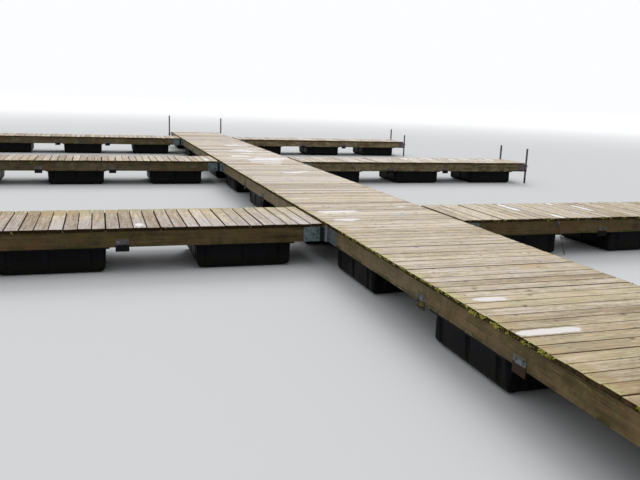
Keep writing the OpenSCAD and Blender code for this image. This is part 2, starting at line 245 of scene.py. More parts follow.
class JettyFrames(bpy.types.PropertyGroup):
    """Colours of the frames' timber and of the moss on the board ends"""

    timber: colour("Timber", "the walkway's damp stringers", 0.205, 0.145, 0.068)
    near_timber: colour("Near timber", "the nearest fingers' stringers", 0.122, 0.083, 0.039)
    left_timber: colour("Left timber", "the middle left finger's stringers", 0.142, 0.113, 0.070)
    right_timber: colour("Right timber", "the middle right finger's stringers", 0.252, 0.198, 0.118)
    far_paler: bpy.props.FloatProperty(
        name="Far paler",
        description="How much brighter the furthest fingers' stringers are than the middle ones'",
        default=1.25,
    )
    dry_timber: colour("Dry timber", "the walkway's stringers where they are dry", 0.41, 0.315, 0.205)
    reddish: colour("Reddish timber", "the redder patches of the stringers", 0.19, 0.098, 0.045)
    algae: colour("Algae", "the algae on the stringers", 0.130, 0.112, 0.030)
    wet_algae: colour("Wet algae", "the algae along the stringers' foot", 0.060, 0.068, 0.012)
    knot: colour("Knots", "the knots and cracks of the stringers", 0.040, 0.028, 0.015)
    moss: colour("Moss", "the moss tufts", 0.50, 0.46, 0.055)
    # Near black moss roots, which also paint the shade between and below the tips
    moss_root_and_shade: colour("Moss roots", "the moss between and below its tips", 0.035, 0.030, 0.005)
    # Painted highlight on the tips of the moss
    moss_highlight: colour("Moss tips", "the driest tips of the moss", 0.74, 0.71, 0.24)
    tuft: length("Tuft size", "Usual radius of a moss tuft", 0.0065)


class JettyFittings(bpy.types.PropertyGroup):
    """Sizes and colours of the steel fittings and the floats"""

    zinc: colour("Zinc", "the galvanised plates", 0.175, 0.235, 0.245)
    nail_zinc: colour("Nail heads", "the worn nail heads", 0.085, 0.070, 0.055)
    hinge_zinc: colour("Hinge zinc", "the hinge leaves on the walkway", 0.27, 0.27, 0.30)
    dull_zinc: colour("Dull zinc", "the side plates on the fingers", 0.142, 0.105, 0.110)
    worn_zinc: colour("Worn zinc", "the nearest right finger's side plates", 0.113, 0.097, 0.050)
    bolt_zinc: colour("Bolt zinc", "the bolts and their washers", 0.16, 0.165, 0.165)
    foot: colour("Plate foot", "the walkway's side plates at their foot", 0.075, 0.047, 0.036)
    # Near black at the foot of the fingers' side plates
    black_foot: colour("Wet foot", "the fingers' side plates at their foot", 0.010, 0.010, 0.011)
    plate_dirt: colour("Plate dirt", "the dirt on top of the side plates", 0.165, 0.125, 0.070)
    # Near black beside the hinge knuckles: dirt and painted shade between the leaves
    knuckle_dirt_and_shade: colour("Knuckle grime", "the grime at the knuckles", 0.008, 0.007, 0.007)
    rust: colour("Rust", "the rust on steel", 0.19, 0.075, 0.03)
    pole: colour("Pole steel", "the poles", 0.15, 0.14, 0.165)
    plastic: colour("Float plastic", "the moulded floats", 0.005, 0.005, 0.006)
    scuff: colour("Scuffs", "the scuffs on the floats", 0.09, 0.09, 0.09)
    tide_mark: colour("Tide mark", "the dried line above the slime", 0.12, 0.11, 0.08)
    slime: colour("Slime", "the growth below the water line", 0.011, 0.0112, 0.008)
    water_line: length("Water line", "Height of the water line above the floats' undersides", 0.15)
    bolt: length("Bolt", "Distance across the flats of a bolt head", 0.024)
    nail: length("Nail", "Diameter of a nail head", 0.009)


def closed_strip(rows, columns):
    """Quads of a grid that is closed round its columns and open at its first and last row."""
    row = np.arange(rows - 1)[:, None] * columns
    here = np.arange(columns)[None, :]
    after = (here + 1) % columns
    quads = np.stack([row + here, row + after, row + columns + after, row + columns + here], -1)
    return quads.reshape(-1, 4)


def repeated(faces, points_each, copies):
    """Faces of one shape repeated for a number of copies laid one after another in the point list."""
    shift = (np.arange(copies) * points_each)[:, None, None]
    return (faces[None] + shift).reshape(-1, faces.shape[1])


def new_object(name, data):
    """Puts a new object into the scene."""
    made = bpy.data.objects.new(name, data)
    bpy.context.scene.collection.objects.link(made)
    return made


def build_mesh(name, points, face_sets, attributes=None, smooth=False, materials=None):
    """Mesh object from an array of points and a list of face arrays, each with its own corner count.

    The materials, where given, are one array for each face array, with the number of each face's material.
    """
    points = np.asarray(points, np.float32).reshape(-1, 3)
    loops = np.concatenate([f.reshape(-1) for f in face_sets]).astype(np.int32)
    sizes = np.concatenate([np.full(len(f), f.shape[1], np.int32) for f in face_sets])
    starts = np.concatenate([[0], np.cumsum(sizes)[:-1]]).astype(np.int32)
    mesh = bpy.data.meshes.new(name)
    mesh.vertices.add(len(points))
    mesh.vertices.foreach_set("co", points.ravel())
    mesh.loops.add(len(loops))
    mesh.loops.foreach_set("vertex_index", loops)
    mesh.polygons.add(len(sizes))
    mesh.polygons.foreach_set("loop_start", starts)
    mesh.polygons.foreach_set("use_smooth", np.full(len(sizes), smooth))
    if materials is not None:
        mesh.polygons.foreach_set("material_index", np.concatenate(materials).astype(np.int32))
    for key, (kind, field, values) in (attributes or {}).items():
        layer = mesh.attributes.new(key, kind, "POINT")
        layer.data.foreach_set(field, np.asarray(values, np.float32).ravel())
    mesh.update(calc_edges=True)
    mesh.validate()
    return new_object(name, mesh)


def give(piece, slot, *materials):
    """Puts materials on a new piece and makes it ride on the jetty. Its slot is not used."""
    for material in materials:
        piece.data.materials.append(material)
    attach(piece, "root")


def refinish(node, material):
    """Puts a material on a node of the frame."""
    NODES[node].data.materials.clear()
    NODES[node].data.materials.append(material)


def shade(tint, share):
    """A colour made darker or brighter by a share."""
    return tuple(share * c for c in tint)


class Nodes:
    """Shader nodes of one tree, added step by step.

    A step takes values, colours of three parts or sockets to link, and gives the socket of its result.
    """

    def __init__(self, tree):
        self.tree = tree
        tree.nodes.clear()

    def feed(self, socket, value):
        """Links a socket to another one, or sets its value."""
        if isinstance(value, bpy.types.NodeSocket):
            self.tree.links.new(value, socket)
        else:
            socket.default_value = value

    def add(self, kind, inputs=None, **settings):
        """Adds a shader node, with its inputs given by name or number."""
        made = self.tree.nodes.new("ShaderNode" + kind)
        for key, value in settings.items():
            setattr(made, key, value)
        for key, value in (inputs or {}).items():
            self.feed(made.inputs[key], value)
        return made

    def maths(self, operation, a, b=0.0, clamp=False):
        """One arithmetic step on two values."""
        return self.add("Math", {0: a, 1: b}, operation=operation, use_clamp=clamp).outputs[0]

    def times(self, a, b):
        """Product of two values."""
        return self.maths("MULTIPLY", a, b)

    def plus(self, a, b):
        """Sum of two values."""
        return self.maths("ADD", a, b)

    def minus(self, a, b):
        """Difference of two values."""
        return self.maths("SUBTRACT", a, b)

    def apart(self, a, b):
        """Distance between two values."""
        return self.maths("ABSOLUTE", self.minus(a, b))

    def weighed(self, base, *parts):
        """Adds to a value some others, each less 0.5 and times its weight."""
        for part, weight in parts:
            base = self.plus(base, self.times(self.minus(part, 0.5), weight))
        return base

    def between(self, value, low, high, to_low=0.0, to_high=1.0):
        """Carries a value smoothly from one range to another, clamped at both ends."""
        inputs = {"Value": value, 1: low, 2: high, 3: to_low, 4: to_high}
        return self.add("MapRange", inputs, interpolation_type="SMOOTHSTEP").outputs[0]

    def falling(self, value, low, high):
        """1 below a range of a value, 0 above it, and smooth between."""
        return self.between(value, low, high, 1.0, 0.0)

    def level(self, a, b, factor):
        """Carries one value to another by a factor."""
        return self.add("Mix", {0: factor, 2: a, 3: b}, data_type="FLOAT").outputs[0]

    def blend(self, a, b, factor, share=1.0):
        """Carries one colour to another by a share of a factor."""
        factor = self.times(factor, share) if share < 1.0 else factor
        a, b = (c if isinstance(c, bpy.types.NodeSocket) else (*c, 1.0) for c in (a, b))
        return self.add("Mix", {0: factor, 6: a, 7: b}, data_type="RGBA").outputs[2]

    def stretched(self, vector, scale, offset=(0.0, 0.0, 0.0)):
        """Scales a vector by a different amount along each axis."""
        return self.add("Mapping", {"Vector": vector, "Scale": scale, "Location": offset}).outputs[0]

    def noise(self, vector, scale, detail=4.0, rough=0.55, distortion=0.0):
        """Grey noise, from 0 to 1, over a vector."""
        inputs = {"Vector": vector, "Scale": scale, "Detail": detail, "Roughness": rough}
        return self.add("TexNoise", {**inputs, "Distortion": distortion}).outputs[0]

    def streaks(self, vector, scale, detail=4.0, rough=0.55, distortion=0.0, offset=(0.0, 0.0, 0.0)):
        """Noise with a different scale along each axis."""
        return self.noise(self.stretched(vector, scale, offset), 1.0, detail, rough, distortion)

    def parts(self, vector):
        """The three parts of a vector."""
        return self.add("SeparateXYZ", {0: vector}).outputs

    def channels(self, tint):
        """The three channels of a colour."""
        return self.add("SeparateColor", {0: tint}).outputs

    def attribute(self, name):
        """An attribute of the piece, as Vector, Color, Alpha or Fac."""
        return self.add("Attribute", attribute_name=name).outputs

    def knot_rings(self, vector, scale, randomness, cell_size, largest):
        """How far a place lies from the nearest knot, as a share of the knot's radius.

        The knots are the points of a cell texture over the scaled vector, where a cell is as large as
        cell_size. Nearly half of them have no size and don't show.
        """
        cells = self.stretched(vector, scale)
        knots = self.add("TexVoronoi", {"Vector": cells, "Scale": 1.0, "Randomness": randomness}).outputs
        reach = self.add("VectorMath", {0: cells, 1: knots["Position"]}, operation="SUBTRACT")
        real = self.add("VectorMath", {0: reach.outputs[0], 1: cell_size}, operation="MULTIPLY")
        far = self.add("VectorMath", {0: real.outputs[0]}, operation="LENGTH").outputs["Value"]
        size = self.between(self.channels(knots["Color"])[0], 0.45, 1.0, 0.0, largest)
        return self.maths("DIVIDE", far, self.plus(size, 0.0001))

    def seen_ray(self):
        """1 for rays from the camera and for those that show in gloss or glass, and 0 for light."""
        path = self.add("LightPath").outputs
        seen = self.maths("MAXIMUM", path["Is Camera Ray"], path["Is Glossy Ray"])
        return self.maths("MAXIMUM", seen, path["Is Transmission Ray"])


class Finish(Nodes):
    """A material with its shader, its colour so far, and the place of each point in the frame."""

    def __init__(self, name):
        self.material = bpy.data.materials.new(name)
        self.material.use_nodes = True
        super().__init__(self.material.node_tree)
        self.tint = (1.0, 1.0, 1.0)
        self.shader = self.add("BsdfPrincipled")
        self.add("OutputMaterial", {0: self.shader.outputs[0]})
        self.place = self.add("TexCoord").outputs["Object"]

    def cover(self, tint, factor, share=1.0):
        """Lays a colour over the material's colour so far, by a share of a factor."""
        self.tint = self.blend(self.tint, tint, factor, share)

    def fill(self, sockets):
        """Links or sets the shader's sockets by their names. Gives the material."""
        for key, value in sockets.items():
            self.feed(self.shader.inputs[key], value)
        return self.material

    def surface(self, roughness, height, depth, specular, strength=0.5):
        """Fills in the colour, roughness, bump and specular level. Gives the material."""
        bump = self.add("Bump", {"Height": height, "Strength": strength, "Distance": depth})
        return self.fill({
            "Base Color": self.tint,
            "Roughness": roughness,
            "Normal": bump.outputs[0],
            "Specular IOR Level": specular,
        })


def board_material(boards):
    """Weathered softwood boards.

    The grain attribute holds the distance along a board, the distance across it and a number of the
    board. The board attribute holds its tone, its hue, how wet it lies, which also sets a painted white
    glare that stands for the sky's reflection, and how dirty the spot is, which also sets painted shade
    on the board sides in the joints and on the long edges. The spots attribute holds how stained the
    spot is, the square of its share of the way from the board's middle line to its edge, and how far
    its colour leans to yellow.
    """
    look = Finish("weathered_boards")
    grain = look.attribute("grain")["Vector"]
    facts = look.attribute("board")
    tone, hue, wet = look.channels(facts["Color"])
    # How dirty the spot is, which also sets the painted shade on the board sides and long edges
    dirt = facts["Alpha"]
    stained, aside, lean = look.parts(look.attribute("spots")["Vector"])

    fibres = look.streaks(grain, (2.2, 75.0, 1.0), 5.0, 0.65)
    bands = look.streaks(grain, (0.8, 22.0, 1.0), 3.0, 0.5, 0.6)
    patches = look.streaks(grain, (2.0, 5.0, 1.0))
    mottle = look.streaks(grain, (14.0, 30.0, 1.0), 4.0, 0.7)
    blots = look.streaks(grain, (6.0, 15.0, 1.0), 4.0, 0.65, offset=(5.0, 1.0, 0.0))
    broad = look.noise(look.place, 0.9, 3.0, 0.6)

    lit = look.weighed(tone, (bands, 1.3), (fibres, 1.3), (mottle, 1.5), (blots, 1.05), (patches, 0.6))
    look.tint = look.blend(boards.dull, boards.bright, lit)
    pinkness = look.weighed(patches, (hue, 0.34), (blots, 1.0))
    pinkness = look.minus(pinkness, look.times(lean, 0.5))
    pink = look.blend(boards.dull, boards.pink, lit)
    look.cover(pink, look.between(pinkness, 0.48, 0.78, 0.0, 0.85))
    green = look.blend(boards.dull, boards.green, lit)
    look.cover(green, look.between(pinkness, 0.22, 0.48, 0.7, 0.0))
    orange = look.weighed(broad, (patches, 0.6), (hue, -0.3), (blots, 0.5))
    orange = look.between(look.plus(orange, look.times(lean, 0.3)), 0.58, 0.80, 0.0, 0.4)
    stained = look.between(look.weighed(stained, (mottle, 0.8)), 0.4, 0.8, 0.0, 0.65)
    look.cover(boards.stain, look.maths("MAXIMUM", orange, stained))
    film = look.between(look.weighed(lean, (mottle, 0.8)), 0.5, 1.2, 0.0, 0.68)
    look.cover(boards.algae, film)
    dark_grain = look.streaks(grain, (1.7, 58.0, 1.0), 4.0, 0.6, 0.4, (9.0, 2.0, 0.0))
    look.cover(boards.dull, look.between(dark_grain, 0.53, 0.68, 0.0, 0.6))

    ring = look.knot_rings(grain, (1.9, 7.2, 1.0), 0.85, (0.53, 0.139, 0.0), 0.021)
    look.cover(boards.dull, look.between(ring, 0.9, 2.2, 0.45, 0.0))
    look.cover(boards.knot, look.falling(ring, 0.7, 1.05), 0.8)

    splits = look.streaks(grain, (1.1, 120.0, 1.0), 2.0, 0.4, 0.3, (3.0, 7.0, 0.0))
    cracks = look.between(splits, 0.66, 0.74)
    look.cover(boards.grime_and_shade, cracks, 0.75)
    waver = look.streaks(grain, (1.6, 4.0, 1.0), 3.0, offset=(2.0, 8.0, 0.0))
    # Dirt and painted shade on the board sides in the joints, on the long edges and at the board ends
    edge = look.between(look.weighed(dirt, (mottle, 0.6), (waver, 0.9)), 0.25, 0.75)
    filth_and_shade = look.blend(boards.arris_dirt_and_shade, boards.grime_and_shade, look.between(dirt, 0.6, 1.0))
    look.cover(filth_and_shade, edge, 0.98)

    # Wet patches: a real gloss from the coat and lower roughness, and a near white colour painted as the
    # sky's reflection
    brim = look.weighed(look.minus(wet, aside), (mottle, 0.7), (bands, 0.5))
    wet_glare = look.between(brim, 0.42, 0.56)
    look.cover(boards.wet_glare, wet_glare, 0.92)
    roughness = look.level(look.between(fibres, 0.2, 0.8, 0.64, 0.48), 0.08, wet_glare)
    height = look.weighed(fibres, (cracks, -1.2), (bands, 0.8))
    height = look.times(height, look.minus(1.0, wet_glare))
    look.fill({"Coat Weight": wet_glare, "Coat Roughness": 0.05})
    return look.surface(roughness, height, 0.0016, 0.22)


def end_material(boards):
    """Board ends: end grain under dark dirt and painted shade, bare and reddish on the near part of the
    walkway.

    The grain and board attributes are those of the boards. The pale attribute goes from 0 for near black
    dirt and painted shade over 1 for pale dirt to 2 for bare wood.
    """
    look = Finish("board_ends")
    grain = look.attribute("grain")["Vector"]
    tone = look.channels(look.attribute("board")["Color"])[0]
    y, z = look.parts(look.place)[1:]
    rings = look.streaks(grain, (1.0, 90.0, 1.0), 3.0, 0.6, 0.8)
    cloud = look.noise(look.place, 26.0, 4.0, 0.65)
    pale = look.times(look.attribute("pale")["Fac"], look.between(cloud, 0.3, 0.6, 0.45, 1.0))
    # From near black, which paints the shade on the ends along with their dirt, up to pale dirt
    look.tint = look.blend(boards.grime_and_shade, boards.end_dirt, pale)
    look.cover(boards.dull, look.maths("SUBTRACT", pale, 1.0, clamp=True))
    above = look.between(z, DECK_UNDER + 0.006, DECK_UNDER + 0.014)
    below = look.falling(z, DECK_TOP - 0.020, DECK_TOP - 0.012)
    core = look.times(look.times(above, below), look.between(y, *BARE_ENDS, 1.0, 0.12))
    core = look.times(core, look.between(look.weighed(cloud, (tone, 0.4)), 0.40, 0.62))
    wood = look.blend(boards.end_grain, boards.grime_and_shade, look.between(rings, 0.35, 0.7, 0.0, 0.6))
    look.cover(wood, core, 0.85)
    return look.surface(0.9, rings, 0.0012, 0.0)


def timber_material(name, frames, timber, along, drying=None):
    """Damp stringer timber with redder patches, and algae towards its top.

    The grain runs along the axis with the number given as along. Where drying is given, as two places
    along Y, the timber turns paler from the first to the second.
    """
    look = Finish(name)

    def axes(long, cross):
        """One value for the axis along the grain and another for those across it."""
        return tuple(long if axis == along else cross for axis in range(3))

    fibres = look.streaks(look.place, axes(1.1, 42.0), 5.0, 0.65, 0.4)
    fine = look.streaks(look.place, axes(5.0, 260.0), 4.0, 0.6)
    splits = look.streaks(look.place, axes(0.9, 75.0), 2.0, 0.4, 0.3)
    broad = look.streaks(look.place, axes(0.7, 9.0), 3.0, 0.5)
    blotch = look.noise(look.place, 2.3, 3.0, 0.6)
    speckle = look.noise(look.place, 26.0, 4.0, 0.7)
    mottle = look.noise(look.place, 7.0, 4.0, 0.6)
    y, z = look.parts(look.place)[1:]
    light = look.weighed(0.5, (fibres, 0.7), (fine, 0.55), (broad, 0.4), (mottle, 0.7))
    look.tint = look.blend(shade(timber, 0.38), shade(timber, 1.75), look.between(light, 0.22, 0.80))
    look.cover(frames.reddish, look.between(blotch, 0.48, 0.66), 0.6)
    if drying is not None:
        dry = look.between(look.weighed(y, (blotch, 1.5)), *drying, 0.0, 0.45)
        look.cover(frames.dry_timber, dry)
    rising = look.between(z, FRAME_UNDER + 0.03, DECK_UNDER, 0.0, 0.08)
    film = look.weighed(speckle, (look.noise(look.place, 5.0, 3.0, 0.6), 0.9))
    look.cover(frames.algae, look.between(look.plus(film, rising), 0.47, 0.68), 0.6)
    dabs = look.weighed(look.noise(look.place, 3.1, 3.0, 0.6), (speckle, 0.35))
    foot = look.falling(z, FRAME_UNDER + 0.008, FRAME_UNDER + 0.045)
    look.cover(frames.wet_algae, look.times(foot, look.between(dabs, 0.47, 0.58)), 0.85)
    ring = look.knot_rings(look.place, axes(1.4, 5.5), 0.9, axes(1 / 1.4, 1 / 5.5), 0.034)
    look.cover(frames.knot, look.falling(ring, 0.6, 1.05), 0.65)
    cracks = look.between(splits, 0.64, 0.72)
    look.cover(frames.knot, cracks, 0.6)
    wetness = look.between(broad, 0.3, 0.7, 0.42, 0.68)
    height = look.weighed(fibres, (speckle, 0.4), (fine, 0.5), (cracks, -1.0))
    return look.surface(wetness, height, 0.0015, 0.15)


def moss_material(frames):
    """Yellow-green moss, nearly black at its roots with painted shade down each tuft, and with a painted
    highlight at some of its tips.

    The tuft attribute holds the height within a tuft, from its roots to its tip, and the tuft's tone.
    """
    look = Finish("moss")
    fine = look.noise(look.place, 420.0, 3.0, 0.7)
    rise, tone = look.parts(look.attribute("tuft")["Vector"])[:2]
    # Darker down each tuft as painted shade, and paler at the tips as a painted highlight
    lit = look.weighed(rise, (tone, 1.1), (fine, 1.8))
    look.tint = look.blend(frames.moss_root_and_shade, frames.moss, look.between(lit, 0.15, 0.75))
    look.cover(frames.moss_highlight, look.between(lit, 0.85, 1.35))
    return look.surface(0.95, fine, 0.002, 0.1, 0.8)


def zinc_material(name, fittings, zinc, rusty, plates_from=None, dull=None, dirty=()):
    """Dull galvanised steel with spangles, water marks and rust that starts in patches.

    The patches grow with rusty, which lowers the level where they start. Where plates_from is given,
    plates that lie further than that from the walkway's middle line rust at their foot, and the finger
    leaves of the hinges are painted near black beside their knuckles, as dirt and painted shade. Where a
    dull colour is given, the same plates turn to it, their feet are near black, and the hinge leaves on
    the walkway are paler. Plates whose middles along Y are listed as dirty have dirt on their tops.
    """
    look = Finish(name)
    spangle = look.add("TexVoronoi", {"Vector": look.place, "Scale": 95.0}).outputs["Color"]
    glint = look.channels(spangle)[0]
    cloud = look.noise(look.place, 11.0, 4.0, 0.6)
    drip = look.streaks(look.place, (34.0, 34.0, 3.5), 4.0, 0.6)
    light = look.plus(look.times(cloud, 0.9), look.times(glint, 0.25))
    look.tint = look.blend(shade(zinc, 0.45), shade(zinc, 1.5), look.between(light, 0.3, 0.85))
    stain = look.plus(look.times(cloud, 0.5), look.times(drip, 0.5))
    rust = look.between(stain, 0.62 - rusty, 0.76 - rusty)
    x, y, z = look.parts(look.place)
    aside = look.maths("ABSOLUTE", x)
    if plates_from is not None:
        outer = look.between(aside, plates_from, plates_from + 0.1)
        low = look.weighed(z, (drip, 0.05))
        foot = look.times(look.falling(low, FRAME_UNDER + 0.018, FRAME_UNDER + 0.034), outer)
        rust = look.maths("MAXIMUM", rust, foot)
    look.cover(fittings.rust, rust, 0.85)
    if dull is not None:
        inner = look.between(aside, LEAF_EDGE - 0.004, LEAF_EDGE + 0.004, 0.6, 0.0)
        look.cover(fittings.hinge_zinc, inner)
        look.cover(dull, outer, 0.92)
    if plates_from is not None:
        # Foot of the plates: rust brown on the walkway, near black on the fingers
        look.cover(fittings.foot if dull is None else fittings.black_foot, foot, 0.96)
        # Near black beside the knuckles: dirt and painted shade between the hinge leaves
        beside = look.weighed(look.apart(aside, KNUCKLES), (cloud, 0.01))
        look.cover(fittings.knuckle_dirt_and_shade, look.falling(beside, 0.020, 0.032), 0.92)
    if dirty:
        reach = look.apart(y, dirty[0])
        for middle in dirty[1:]:
            reach = look.maths("MINIMUM", reach, look.apart(y, middle))
        top = look.between(look.weighed(z, (drip, 0.03)), FRAME_UNDER + 0.058, FRAME_UNDER + 0.076)
        top = look.times(top, look.between(reach, 0.080, 0.086, 0.85, 0.0))
        look.cover(fittings.plate_dirt, top)
    look.fill({"Metallic": look.between(rust, 0.0, 1.0, 0.45, 0.05)})
    roughness = look.level(look.between(glint, 0.0, 1.0, 0.42, 0.6), 0.85, rust)
    height = look.plus(look.times(glint, 0.25), look.times(rust, drip))
    return look.surface(roughness, height, 0.0008, 0.12)


def pole_material(fittings):
    """Dark bare steel tube, streaked up and down, with rust and a slimed foot."""
    look = Finish("pole_steel")
    streak = look.streaks(look.place, (60.0, 60.0, 2.0), 4.0, 0.6)
    cloud = look.noise(look.place, 8.0, 4.0, 0.65)
    z = look.parts(look.place)[2]
    look.tint = look.blend(shade(fittings.pole, 0.5), fittings.pole, look.between(streak, 0.3, 0.7))
    rust = look.between(look.plus(cloud, look.times(streak, 0.3)), 0.66, 0.82)
    look.cover(fittings.rust, rust, 0.7)
    line = look.plus(z, look.times(cloud, 0.05))
    water = fittings.water_line
    look.cover(fittings.slime, look.falling(line, water + 0.01, water + 0.05))
    look.fill({"Metallic": 0.5})
    return look.surface(look.level(0.42, 0.85, rust), streak, 0.0006, 0.5)


def float_material(fittings):
    """Black moulded plastic: fine moulding grain, scuffs, dried splashes and slime below the water line."""
    look = Finish("float_plastic")
    pores = look.noise(look.place, 420.0, 2.0, 0.5)
    scuff = look.streaks(look.place, (5.0, 5.0, 60.0), 4.0, 0.7)
    cloud = look.noise(look.place, 4.0, 4.0, 0.6)
    z = look.parts(look.place)[2]
    look.tint = look.blend(fittings.plastic, shade(fittings.plastic, 2.2), look.between(cloud, 0.35, 0.7))
    look.cover(fittings.scuff, look.between(scuff, 0.62, 0.75), 0.35)
    line = look.plus(z, look.times(cloud, 0.06))
    water = fittings.water_line
    wet = look.falling(line, water, water + 0.05)
    look.cover(fittings.slime, wet, 0.7)
    tide = look.times(look.between(line, water + 0.03, water + 0.06), wet)
    look.cover(fittings.tide_mark, tide)
    roughness = look.between(cloud, 0.3, 0.7, 0.38, 0.6)
    return look.surface(roughness, look.plus(look.times(pores, 0.3), scuff), 0.0006, 0.06)


def board_profile(width, depth, arris, edge_dirt_and_shade):
    """Closed section of a board: arcs at its corners and a few points across its flat top.

    The points run round the section, and each is given as across and up from the middle of its top.
    The second array says how much dirt and painted shade each point takes: fully on the sides, and fading
    to the top's edge.
    """
    turn = np.radians([0.0, 30.0, 60.0, 90.0])
    top_right = np.stack([np.sin(turn), np.cos(turn)], 1) * arris + [width / 2 - arris, -arris]
    low = 0.4 * arris
    foot_turn = np.radians([90.0, 135.0, 180.0])
    low_right = np.stack([np.sin(foot_turn), np.cos(foot_turn)], 1) * low
    low_right = low_right + [width / 2 - low, low - depth]
    right = np.concatenate([top_right, low_right])
    right_dirt_and_shade = np.array([edge_dirt_and_shade, 0.55, 0.85, 1.0, 1.0, 1.0, 1.0])
    left = right[::-1] * [-1, 1]
    inner = (width / 2 - arris - 0.008) * np.array([-1.0, -0.5, 0.0, 0.5, 1.0])
    top = np.stack([inner, np.zeros(5)], 1)
    return np.concatenate([right, left, top]), np.concatenate([right_dirt_and_shade, right_dirt_and_shade[::-1], np.zeros(5)])


def run_mask(runs, centre, along, reach=0.0):
    """How much of each station of each board lies in the given runs, fading at the runs' ends.

    A run takes the board nearest to its place, and any others within its reach.
    """
    mask = np.zeros(along.shape)
    for at, first, last in runs:
        away = np.abs(centre - at)
        near = away <= max(reach, away.min())
        inside = np.minimum(along[near] - first, last - along[near])
        mask[near] = np.maximum(mask[near], (0.5 + inside / RUN_FADE).clip(0.0, 1.0))
    return mask


def stringer_lines(node):
    """Middle lines of the stringers under a deck, across its boards."""
    low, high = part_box(node.replace("deck", "frame"))
    span, count = (0, 4) if node.startswith("walkway") else (1, 3)
    return np.linspace(low[span] + STRINGER / 2, high[span] - STRINGER / 2, count)


def middle_of(node):
    """Middle of a node's box."""
    low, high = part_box(node)
    return (low + high) / 2


def by_board(values):
    """One value for each board, laid out to meet its stations and the points of its section."""
    return values[:, None, None]


def stations(reach, depth):
    """Places along a board, as shares of its reach, and how much of its section is left at each.

    They stand evenly between the eased ends. At the first and the last, twice the ease is taken off
    the board's depth, and the same share off its width.
    """
    inner = np.linspace(0.0, 1.0, 2 + round(reach / STATION))
    share = np.concatenate([[0.0], END_EASE / reach + inner * (1 - 2 * END_EASE / reach), [1.0]])
    drawn_in = np.ones((len(share), 1))
    drawn_in[[0, -1]] = 1 - 2 * END_EASE / depth
    return share, drawn_in


def board_faces(rows, columns, count, turned):
    """Faces of a number of boards, round their sections and at their ends, and each face's material.

    The eased ends take the second material. Boards along X are turned, so that they face outward.
    """
    quads = closed_strip(rows, columns)
    ring = np.arange(columns)[None, :]
    caps = np.concatenate([ring[:, ::-1], ring + (rows - 1) * columns])
    if turned:
        quads, caps = quads[:, ::-1], caps[:, ::-1]
    eased = np.zeros(rows - 1)
    eased[[0, -1]] = 1
    materials = [np.tile(np.repeat(eased, columns), count), np.ones(2 * count)]
    return [repeated(faces, rows * columns, count) for faces in (quads, caps)], materials


